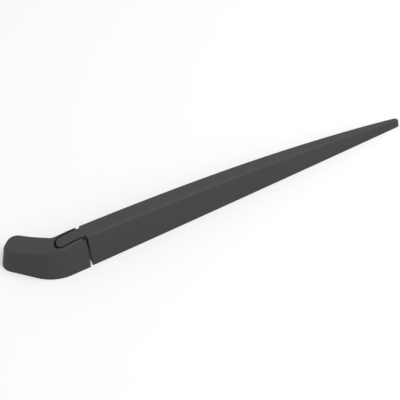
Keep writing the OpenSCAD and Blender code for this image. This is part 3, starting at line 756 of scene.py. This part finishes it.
@dataclass
class CoverMoulding:
    """The cranked cover over the head, with its slot for the tongue, in millimetres."""

    width: float = 31.0
    heel_width: float = 32.6
    root_top: float = 14.3
    heel_top: float = 19.6
    crown_taper: float = 1.8
    heel_corner: float = 10.0
    heel_lean: float = 0.7
    heel_top_corner: float = 8.0
    crease: float = 2.6
    wall: float = 1.6
    arm_gap: float = 1.3
    front_lean: float = 1.4
    slot_half: float = 5.9
    slot_end: float = 25.0
    slot_corner: float = 5.2
    slot_strip: float = 0.15
    rim_round: float = 0.35
    slot_round: float = 0.3
    cap_round: float = 0.25
    blend_end: float = 14.0
    # The skin beside the slot rises to it over this last share, and the slot's edge is shared out
    # along a line this far in from the rim
    last_rise: float = 0.96
    edge_line: float = 6.0
    blend_shares: tuple[float, ...] = (0.0, 0.14, 0.3, 0.5, 0.75)
    relief_rounds: int = 12
    arc_steps: int = 12
    band_steps: int = 16
    wall_steps: int = 6
    run_columns: int = 4
    side_columns: int = 28
    corner_columns: int = 16
    heel_columns: int = 3

    def share(self, s: float) -> float:
        """Share of the way from the gap to the end of the bend."""
        return min(max(s, 0.0) / LINE.bend_end, 1.0)

    def half(self, s: float) -> float:
        """Half width over the rims."""
        return mix(self.width, self.heel_width, self.share(s)) / 2

    def half_top(self, s: float) -> float:
        """Half width of the top."""
        return mix(self.root_top, self.heel_top, self.share(s) ** self.crown_taper) / 2

    def relief_station(self, z: float) -> float:
        """Finds where the skirt starts, which is round the hinge above and leaning below.

        Args:
            z: Height over the rims.

        Returns:
            The station.
        """
        level = LINE.hinge_level
        if z <= level:
            return self.arm_gap + self.front_lean * (level - z) / level
        return LINE.hinge_back - math.sqrt((LINE.hinge_back - self.arm_gap) ** 2 - (z - level) ** 2)

    def stand(self, column: Column) -> tuple[np.ndarray, np.ndarray, np.ndarray, np.ndarray]:
        """Finds how a column stands on the plan.

        Args:
            column: The column.

        Returns:
            Its point on the rim and on the crease, its way out and its way along the wall.
        """
        c, n = math.cos(column.turn), math.sin(column.turn)
        points = []
        for s, half, r in ((column.foot, self.half(column.foot), self.heel_corner),
                           (column.crease, self.half_top(column.crease), self.heel_top_corner)):
            points.append(np.array([s + r * n, (half - r) * (1 - column.across) + r * c]))
        return points[0], points[1], np.array([n, c]), np.array([c, -n])

    def slot_point(self, share: float) -> Pair:
        """Finds a point of the slot's edge.

        Args:
            share: Share of the way from the end of its straight side to its middle.

        Returns:
            Station and offset.
        """
        r = self.slot_corner
        arc, flat = r * math.pi / 2, self.slot_half - r
        run = share * (arc + flat)
        if run <= arc:
            a = run / r
            return self.slot_end - r + r * math.sin(a), self.slot_half - r + r * math.cos(a)
        return self.slot_end, max(self.slot_half - r - (run - arc), 0.0)

    def column(self, column: Column, wall: float) -> list[list[float]]:
        """Draws one skin at a column, from the middle of the rim to the slot's edge.

        Args:
            column: Where the column stands.
            wall: 0 for the outer skin, or the wall's thickness for the inner one.

        Returns:
            Points of station, offset and height.
        """
        base, crown, out, along = self.stand(column)
        half, draught, shift = float(base[1]), float((base - crown) @ out), float((crown - base) @ along)
        height = LINE.top(float(crown[0]))
        foot, *arc = half_profile(height, draught, self.crease, wall, self.arc_steps)
        keep = self.slot_half + self.slot_round + self.slot_strip
        if column.turn == 0 and half - arc[-1][0] < keep:
            # The whole bend doesn't fit beside the slot, so it ends early or is left out
            bend, slope = inner_bend(self.crease, wall), math.atan2(draught, height)
            reach = (keep - half + arc[-1][0]) / bend
            steps = [i / self.arc_steps for i in range(self.arc_steps + 1)]
            if reach < math.cos(slope):
                cz, end = height - wall - bend, arc[-1][0]
                angles = [mix(slope, math.acos(reach), t) for t in steps]
                arc = [(end - bend * math.cos(a), cz + bend * math.sin(a)) for a in angles]
            else:
                rises = [(half - keep - foot[0]) * mix(self.last_rise, 1, t) for t in steps]
                arc = [(foot[0] + rise, rise * height / draught) for rise in rises]
        middle = (rim_inset(height, draught, self.wall) / 2, 0.0)
        rim = rounded(middle, foot, arc[0], self.rim_round, ROUND_STEPS)
        points = []
        for inset, z in [middle] + rim + between(rim[-1], arc[0], self.wall_steps) + arc:
            q = base - inset * out + shift * z / height * along
            points.append([float(q[0]), float(q[1]), z * (LINE.top(float(q[0])) - wall) / (height - wall)])
        edge = np.array((column.foot, self.slot_half) if column.share < 0 else self.slot_point(column.share))
        start = np.array(points[-1][:2])
        ahead = unit(edge - start)
        stop_at = edge - ahead * self.slot_round
        below = LINE.top(start[0]) - wall - points[-1][2]
        for i in range(1, self.band_steps + 1):
            q = start + (stop_at - start) * i / self.band_steps
            points.append([q[0], q[1], LINE.top(q[0]) - wall - below])
        fall = self.slot_round if wall == 0 else -self.slot_round
        level = points[-1][2]
        for a in quarter(ROUND_STEPS, 1):
            q = stop_at + ahead * self.slot_round * math.sin(a)
            points.append([q[0], q[1], level - fall * (1 - math.cos(a))])
        return points

    def columns(self) -> list[Column]:
        """Lists the columns of one side beyond the blend.

        Returns:
            The columns, from the end of the blend to the middle of the far end.
        """
        slot_start = self.slot_end - self.slot_corner
        corner = LINE.heel - self.heel_corner
        crown = LINE.heel - self.heel_lean - self.heel_top_corner
        stations = np.linspace(self.blend_end, slot_start, self.run_columns + 1)[:-1]
        runs = [Column(float(s), float(s)) for s in stations]
        side = []
        for s in map(float, np.linspace(slot_start, corner, self.side_columns)):
            past = max(s - LINE.bend_end, 0.0) / (corner - LINE.bend_end)
            side.append((s, s + past * (crown - corner), 0.0, 0.0))
        side += [(corner, crown, a, 0.0) for a in quarter(self.corner_columns, 1)]
        side += [(corner, crown, QUARTER, i / self.heel_columns) for i in range(1, self.heel_columns + 1)]
        length, marks, before = 0.0, [], None
        for q in side:
            base, _, out, _ = self.stand(Column(*q))
            here = base - self.edge_line * out
            length += 0.0 if before is None else float(np.linalg.norm(here - before))
            marks.append(length)
            before = here
        return runs + [Column(*q, mark / length) for q, mark in zip(side, marks)]

    def skin(self, wall: float) -> np.ndarray:
        """Draws one side of one skin.

        Args:
            wall: 0 for the outer skin, or the wall's thickness for the inner one.

        Returns:
            Columns by points by station, offset and height.
        """
        def beside(s: float) -> list[list[float]]:
            """Draws the column at a station beside the slot."""
            return self.column(Column(s, s), wall)

        starts = []
        for row in range(len(beside(self.blend_end))):
            s = self.arm_gap
            for _ in range(self.relief_rounds):
                s = self.relief_station(beside(s)[row][2])
            starts.append(s)
        grid = []
        for share in self.blend_shares:
            grid.append([beside(mix(start, self.blend_end, share))[row] for row, start in enumerate(starts)])
        grid += [self.column(q, wall) for q in self.columns()]
        return np.array(grid)

    def shell(self) -> bpy.types.Object:
        """Builds the cover's shell as one closed skin.

        Returns:
            The object, with its sharp edges rounded.
        """
        maker = MeshMaker()
        skins = []
        for wall in (0.0, self.wall):
            side = self.skin(wall)
            near = side * np.array([1, -1, 1])
            whole = np.concatenate([near, side[-2::-1]])
            skins.append(np.array([[LINE.place(*q) for q in column] for column in whole]))
        outer, inner = skins
        maker.patch(outer)
        maker.patch(inner)
        maker.strip(outer[:, -1], inner[:, -1])
        for end in (0, -1):
            maker.strip(outer[end], inner[end])
        obj = new_object("cover_moulding", maker.mesh("cover_moulding"))
        soften(obj, self.cap_round)
        return obj

    def build(self) -> bpy.types.Object:
        """Builds the cover and puts it in the place of its CAD solid.

        Returns:
            The object.
        """
        obj = self.shell()
        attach(obj, "cover")
        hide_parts("cover_cap")
        return obj


# Shader groups


class Wiring:
    """Short words for adding nodes to a tree and joining them."""

    def __init__(self, tree: bpy.types.NodeTree) -> None:
        """Holds the tree that the nodes go into."""
        self.tree = tree

    def node(self, kind: str, values: dict | None = None, **settings: object) -> bpy.types.Node:
        """Adds a node.

        Args:
            kind: Blender's name of the node's type.
            values: What its inputs take, by name or number: a plain value or another node's output.
            settings: The node's own settings.

        Returns:
            The new node.
        """
        made = self.tree.nodes.new(kind)
        for key, value in settings.items():
            setattr(made, key, value)
        for key, value in (values or {}).items():
            if isinstance(value, bpy.types.NodeSocket):
                self.tree.links.new(value, made.inputs[key])
            else:
                made.inputs[key].default_value = value
        return made

    def math(self, operation: str, a: object, b: object = 0.0, clamp: bool = False) -> bpy.types.NodeSocket:
        """Adds a sum of two values and returns its output."""
        return self.node("ShaderNodeMath", {0: a, 1: b}, operation=operation, use_clamp=clamp).outputs[0]

    def blend(self, share: object, a: object, b: object) -> bpy.types.NodeSocket:
        """Adds a mix of two colours and returns its output."""
        return self.node("ShaderNodeMix", {0: share, 6: a, 7: b}, data_type="RGBA").outputs[2]

    def ramp(self, value: object, start: Sequence = (0.0, 1.0),
             end: Sequence = (0.0, 1.0)) -> bpy.types.NodeSocket:
        """Adds a ramp from one range of values to another and returns its output."""
        values = dict(enumerate((value, *start, *end)))
        return self.node("ShaderNodeMapRange", values).outputs[0]

    def noise(self, scale: object, detail: float, roughness: float = 0.5) -> bpy.types.NodeSocket:
        """Adds a noise in the object's own coordinates.

        Args:
            scale: Its scale.
            detail: Its octaves.
            roughness: How strong the fine octaves are.

        Returns:
            Its output.
        """
        place = self.node("ShaderNodeTexCoord").outputs["Object"]
        return self.node("ShaderNodeTexNoise", {"Vector": place, "Scale": scale, "Detail": detail,
                                                "Roughness": roughness}).outputs[0]

    def seen(self) -> bpy.types.NodeSocket:
        """Adds a switch for camera, glossy and transmission rays.

        Returns:
            Its output, one for such rays.
        """
        rays = self.node("ShaderNodeLightPath").outputs
        return self.math("MAXIMUM", self.math("MAXIMUM", rays["Is Camera Ray"], rays["Is Glossy Ray"]),
                         rays["Is Transmission Ray"])


class ShaderGroup:
    """A shader node group with named inputs and outputs, built once."""

    name = ""
    # Plain value of each input, and the sockets of the outputs
    inputs: dict[str, float | tuple[float, ...]] = {}
    outputs: dict[str, str] = {}
    VALUE = "NodeSocketFloat"
    COLOUR = "NodeSocketColor"
    # Range of a noise that is spread over the whole of a mask
    spread: Pair = (0.35, 0.65)

    @classmethod
    def get(cls) -> bpy.types.NodeTree:
        """Builds the group the first time.

        Returns:
            The group's tree.
        """
        if cls.name in bpy.data.node_groups:
            return bpy.data.node_groups[cls.name]
        tree = bpy.data.node_groups.new(cls.name, "ShaderNodeTree")
        for socket, value in cls.inputs.items():
            kind = cls.COLOUR if isinstance(value, tuple) else cls.VALUE
            tree.interface.new_socket(socket, in_out="INPUT", socket_type=kind).default_value = value
        for socket, kind in cls.outputs.items():
            tree.interface.new_socket(socket, in_out="OUTPUT", socket_type=kind)
        w = Wiring(tree)
        w.node("NodeGroupOutput", cls.wire(w, w.node("NodeGroupInput").outputs))
        return tree

    @classmethod
    def wire(cls, w: Wiring, start: Sequence) -> dict[str, bpy.types.NodeSocket]:
        """Adds the group's own nodes; each group has its own."""
        raise NotImplementedError


class GrainGroup(ShaderGroup):
    """Fine moulded or cast grain: a height, and two colours mixed by a coarse and a fine mottle."""

    name = "fine_grain"
    inputs = {"Grain Scale": 2200.0, "Mottle Scale": 40.0, "Low Colour": (0.05, 0.05, 0.05, 1),
              "High Colour": (0.06, 0.06, 0.06, 1), "Low Roughness": 0.5, "High Roughness": 0.6}
    outputs = {"Color": ShaderGroup.COLOUR, "Roughness": ShaderGroup.VALUE, "Height": ShaderGroup.VALUE}
    # Shares of the stronger and of the weaker pattern in each sum
    strong = 0.6
    weak = 0.4

    @classmethod
    def wire(cls, w: Wiring, start: Sequence) -> dict[str, bpy.types.NodeSocket]:
        """Adds the group's own nodes.

        Args:
            w: Wiring of the group's tree.
            start: Outputs of the group's input node.

        Returns:
            What the group puts out, by name.
        """
        fine = w.noise(start["Grain Scale"], 3.0, 0.6)
        place = w.node("ShaderNodeTexCoord").outputs["Object"]
        cells = w.node("ShaderNodeTexVoronoi", {"Vector": place, "Scale": start["Grain Scale"]},
                       feature="SMOOTH_F1").outputs[0]
        mottle = w.noise(start["Mottle Scale"], 4.0, 0.55)
        height, share = (w.math("ADD", w.math("MULTIPLY", a, cls.strong), w.math("MULTIPLY", b, cls.weak), clamp)
                         for a, b, clamp in ((fine, cells, False), (mottle, fine, True)))
        spread = w.ramp(share, cls.spread)
        colour = w.blend(spread, start["Low Colour"], start["High Colour"])
        rough = w.ramp(spread, end=(start["Low Roughness"], start["High Roughness"]))
        return {"Color": colour, "Roughness": rough, "Height": height}


class EdgeWearSheenGroup(ShaderGroup):
    """Mask of the outer edges, broken up by a mottle, where a surface is lighter: wear, and on the moulded
    plastic also a painted sheen highlight along the ridges.
    """

    name = "edge_rub"
    inputs = {"Radius": 0.0004, "Strength": 1.0, "Break Scale": 300.0}
    outputs = {"Mask": ShaderGroup.VALUE}
    # How fast the mask rises as the normal turns at an edge
    gain = 8.0

    @classmethod
    def wire(cls, w: Wiring, start: Sequence) -> dict[str, bpy.types.NodeSocket]:
        """Adds the group's own nodes.

        Args:
            w: Wiring of the group's tree.
            start: Outputs of the group's input node.

        Returns:
            What the group puts out, by name.
        """
        soft = w.node("ShaderNodeBevel", {"Radius": start["Radius"]}, samples=4).outputs[0]
        true = w.node("ShaderNodeNewGeometry").outputs["Normal"]
        turn = w.node("ShaderNodeVectorMath", {0: soft, 1: true}, operation="DOT_PRODUCT").outputs["Value"]
        # Painted lighter edges: partly wear, partly a painted sheen highlight
        edge = w.math("MULTIPLY", w.math("SUBTRACT", 1.0, turn), cls.gain, clamp=True)
        broken = w.math("MULTIPLY", edge, w.ramp(w.noise(start["Break Scale"], 3.0), cls.spread))
        return {"Mask": w.math("MULTIPLY", broken, start["Strength"], clamp=True)}


@dataclass(frozen=True)
class Finish:
    """A finish: two colours, their roughness, the grain, and lighter edges that are wear and, on the plastic,
    partly a painted sheen highlight.
    """

    name: str
    low: Colour
    high: Colour
    wear_sheen_colour: Colour
    roughness: Pair
    grain_scale: float = 2200.0
    mottle_scale: float = 40.0
    grain_depth: float = 0.00002
    bump: float = 0.35
    wear_sheen_strength: float = 0.5
    wear_sheen_radius: float = 0.0004
    metallic: float = 0.0
    specular: float = 0.5

    def material(self) -> bpy.types.Material:
        """Builds the material the first time.

        Returns:
            The material of this finish.
        """
        if self.name in bpy.data.materials:
            return bpy.data.materials[self.name]
        made = bpy.data.materials.new(self.name)
        made.use_nodes = True
        tree = made.node_tree
        tree.nodes.clear()
        w = Wiring(tree)
        grain = w.node("ShaderNodeGroup", {
            "Grain Scale": self.grain_scale, "Mottle Scale": self.mottle_scale,
            "Low Colour": (*self.low, 1), "High Colour": (*self.high, 1),
            "Low Roughness": self.roughness[0], "High Roughness": self.roughness[1]}, node_tree=GrainGroup.get())
        edge = w.node("ShaderNodeGroup", {"Radius": self.wear_sheen_radius, "Strength": self.wear_sheen_strength},
                      node_tree=EdgeWearSheenGroup.get())
        # Lighter colour painted along the edges: wear, and on the moulded plastic also a painted sheen highlight
        # on the ridges
        colour = w.blend(edge.outputs["Mask"], grain.outputs["Color"], (*self.wear_sheen_colour, 1))
        bump = w.node("ShaderNodeBump", {"Strength": self.bump, "Distance": self.grain_depth,
                                         "Height": grain.outputs["Height"]})
        shader = w.node("ShaderNodeBsdfPrincipled", {
            "Base Color": colour, "Roughness": grain.outputs["Roughness"], "Metallic": self.metallic,
            "Specular IOR Level": self.specular, "Normal": bump.outputs[0]})
        w.node("ShaderNodeOutputMaterial", {"Surface": shader.outputs[0]})
        return made

    def dress(self, obj: bpy.types.Object) -> None:
        """Puts the finish on an object as its only material."""
        obj.data.materials.clear()
        obj.data.materials.append(self.material())


# The third colour of each finish lightens its edges: wear, and on the moulded plastic also a painted sheen
# highlight along the ridges
MOULDED = Finish("moulded_plastic", (0.030, 0.0275, 0.0255), (0.040, 0.0365, 0.034), (0.072, 0.067, 0.063),
                 (0.54, 0.68))
CAST = Finish("cast_alloy", (0.30, 0.31, 0.32), (0.40, 0.41, 0.42), (0.55, 0.56, 0.57), (0.38, 0.55),
              grain_scale=1500.0, metallic=1.0)
PLATED = Finish("plated_steel", (0.42, 0.43, 0.44), (0.52, 0.53, 0.54), (0.66, 0.67, 0.68), (0.22, 0.36),
                grain_scale=3000.0, metallic=1.0)
SINTERED = Finish("sintered_bronze", (0.36, 0.27, 0.15), (0.46, 0.36, 0.21), (0.55, 0.45, 0.28), (0.40, 0.55),
                  grain_scale=2600.0, metallic=1.0)

# The CAD nodes that stay, and the finish of each
NODE_FINISHES = {"mounting_head": CAST, "spindle_insert": PLATED, "hinge_pin": PLATED,
                 "hinge_bush_near": SINTERED, "hinge_bush_far": SINTERED, "spring_link": PLATED,
                 "link_pin": PLATED, "tension_spring": PLATED, "spring_anchor_pin": PLATED,
                 "blade_pivot_pin": PLATED}


# Studio


@dataclass(frozen=True)
class Lamp:
    """A round soft lamp: its direction in degrees, distance and size in metres, and power in watts."""

    name: str
    azimuth: float
    elevation: float
    distance: float
    size: float
    power: float


@dataclass
class Studio:
    """Camera, floor and soft light, in metres, degrees and for the lens and sensor millimetres."""

    target: tuple[float, float, float] = (0.14784, -0.01792, 0.00535)
    azimuth: float = -30.19
    elevation: float = 45.39
    distance: float = 1.0
    lens: float = 110.2
    sensor: float = 36.0
    clip: Pair = (0.01, 20.0)
    world_level: float = 0.5
    lamps: tuple[Lamp, ...] = (Lamp("key", 70.0, 62.0, 1.7, 1.4, 11.0),
                               Lamp("fill", 10.0, 40.0, 1.9, 1.6, 6.0))
    floor_z: float = -0.00102
    floor_reach: float = 4.0
    floor_colour: Colour = (0.8, 0.8, 0.8)
    floor_glow: float = 0.3

    def direction(self, azimuth: float, elevation: float) -> Vector:
        """Returns the direction from the target towards an azimuth and elevation."""
        a, e = math.radians(azimuth), math.radians(elevation)
        return Vector((math.sin(a) * math.cos(e), -math.cos(a) * math.cos(e), math.sin(e)))

    def aimed(self, obj: bpy.types.Object, azimuth: float, elevation: float, distance: float) -> None:
        """Puts an object round the target and turns it to look there.

        Args:
            obj: The camera or lamp.
            azimuth: Its direction in plan.
            elevation: Its direction over the floor.
            distance: Its distance from the target.
        """
        way = self.direction(azimuth, elevation)
        obj.location = Vector(self.target) + way * distance
        obj.rotation_euler = (-way).to_track_quat("-Z", "Y").to_euler()

    def camera(self) -> None:
        """Adds the camera at the photograph's angle."""
        data = bpy.data.cameras.new("camera")
        data.sensor_width = self.sensor
        data.lens = self.lens
        data.clip_start, data.clip_end = self.clip
        obj = new_object("camera", data)
        self.aimed(obj, self.azimuth, self.elevation, self.distance)
        bpy.context.scene.camera = obj

    def light(self) -> None:
        """Adds the lamps and the even light of the world, which is white where it is seen."""
        for lamp in self.lamps:
            data = bpy.data.lights.new(lamp.name, "AREA")
            data.shape = "DISK"
            data.size = lamp.size
            data.energy = lamp.power
            self.aimed(new_object(lamp.name, data), lamp.azimuth, lamp.elevation, lamp.distance)
        world = bpy.data.worlds.new("studio")
        bpy.context.scene.world = world
        world.use_nodes = True
        world.node_tree.nodes.clear()
        w = Wiring(world.node_tree)
        level = w.ramp(w.seen(), end=(self.world_level, 1.0))
        back = w.node("ShaderNodeBackground", {"Color": (1, 1, 1, 1), "Strength": level})
        w.node("ShaderNodeOutputWorld", {"Surface": back.outputs[0]})

    def floor(self) -> None:
        """Adds the pale floor, which keeps the object's shadow."""
        maker = MeshMaker()
        reach, z = self.floor_reach / MM, self.floor_z / MM
        maker.strip([(-reach, -reach, z), (reach, -reach, z)], [(-reach, reach, z), (reach, reach, z)])
        obj = new_object("floor", maker.mesh("floor"))
        material = bpy.data.materials.new("pale_floor")
        material.use_nodes = True
        material.node_tree.nodes.clear()
        w = Wiring(material.node_tree)
        diffuse = w.node("ShaderNodeBsdfDiffuse", {"Color": (*self.floor_colour, 1)}).outputs[0]
        glow = w.node("ShaderNodeEmission", {
            "Color": (1, 1, 1, 1), "Strength": w.math("MULTIPLY", w.seen(), self.floor_glow)}).outputs[0]
        both = w.node("ShaderNodeAddShader", {0: diffuse, 1: glow}).outputs[0]
        w.node("ShaderNodeOutputMaterial", {"Surface": both})
        obj.data.materials.append(material)

    def build(self) -> None:
        """Builds the studio."""
        self.camera()
        self.light()
        self.floor()
        bpy.context.scene.view_settings.view_transform = "Standard"


def main() -> None:
    """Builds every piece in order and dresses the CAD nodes."""
    logging.basicConfig(level=logging.INFO, format="%(message)s")
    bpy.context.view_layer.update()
    Studio().build()
    for moulding in (ArmMoulding(), CoverMoulding()):
        piece = moulding.build()
        MOULDED.dress(piece)
        LOG.info("%s: %d faces", piece.name, len(piece.data.polygons))
    for node, finish in NODE_FINISHES.items():
        finish.dress(bpy.data.objects[node])
        LOG.info("%s: dressed", node)


if __name__ == "__main__":
    main()
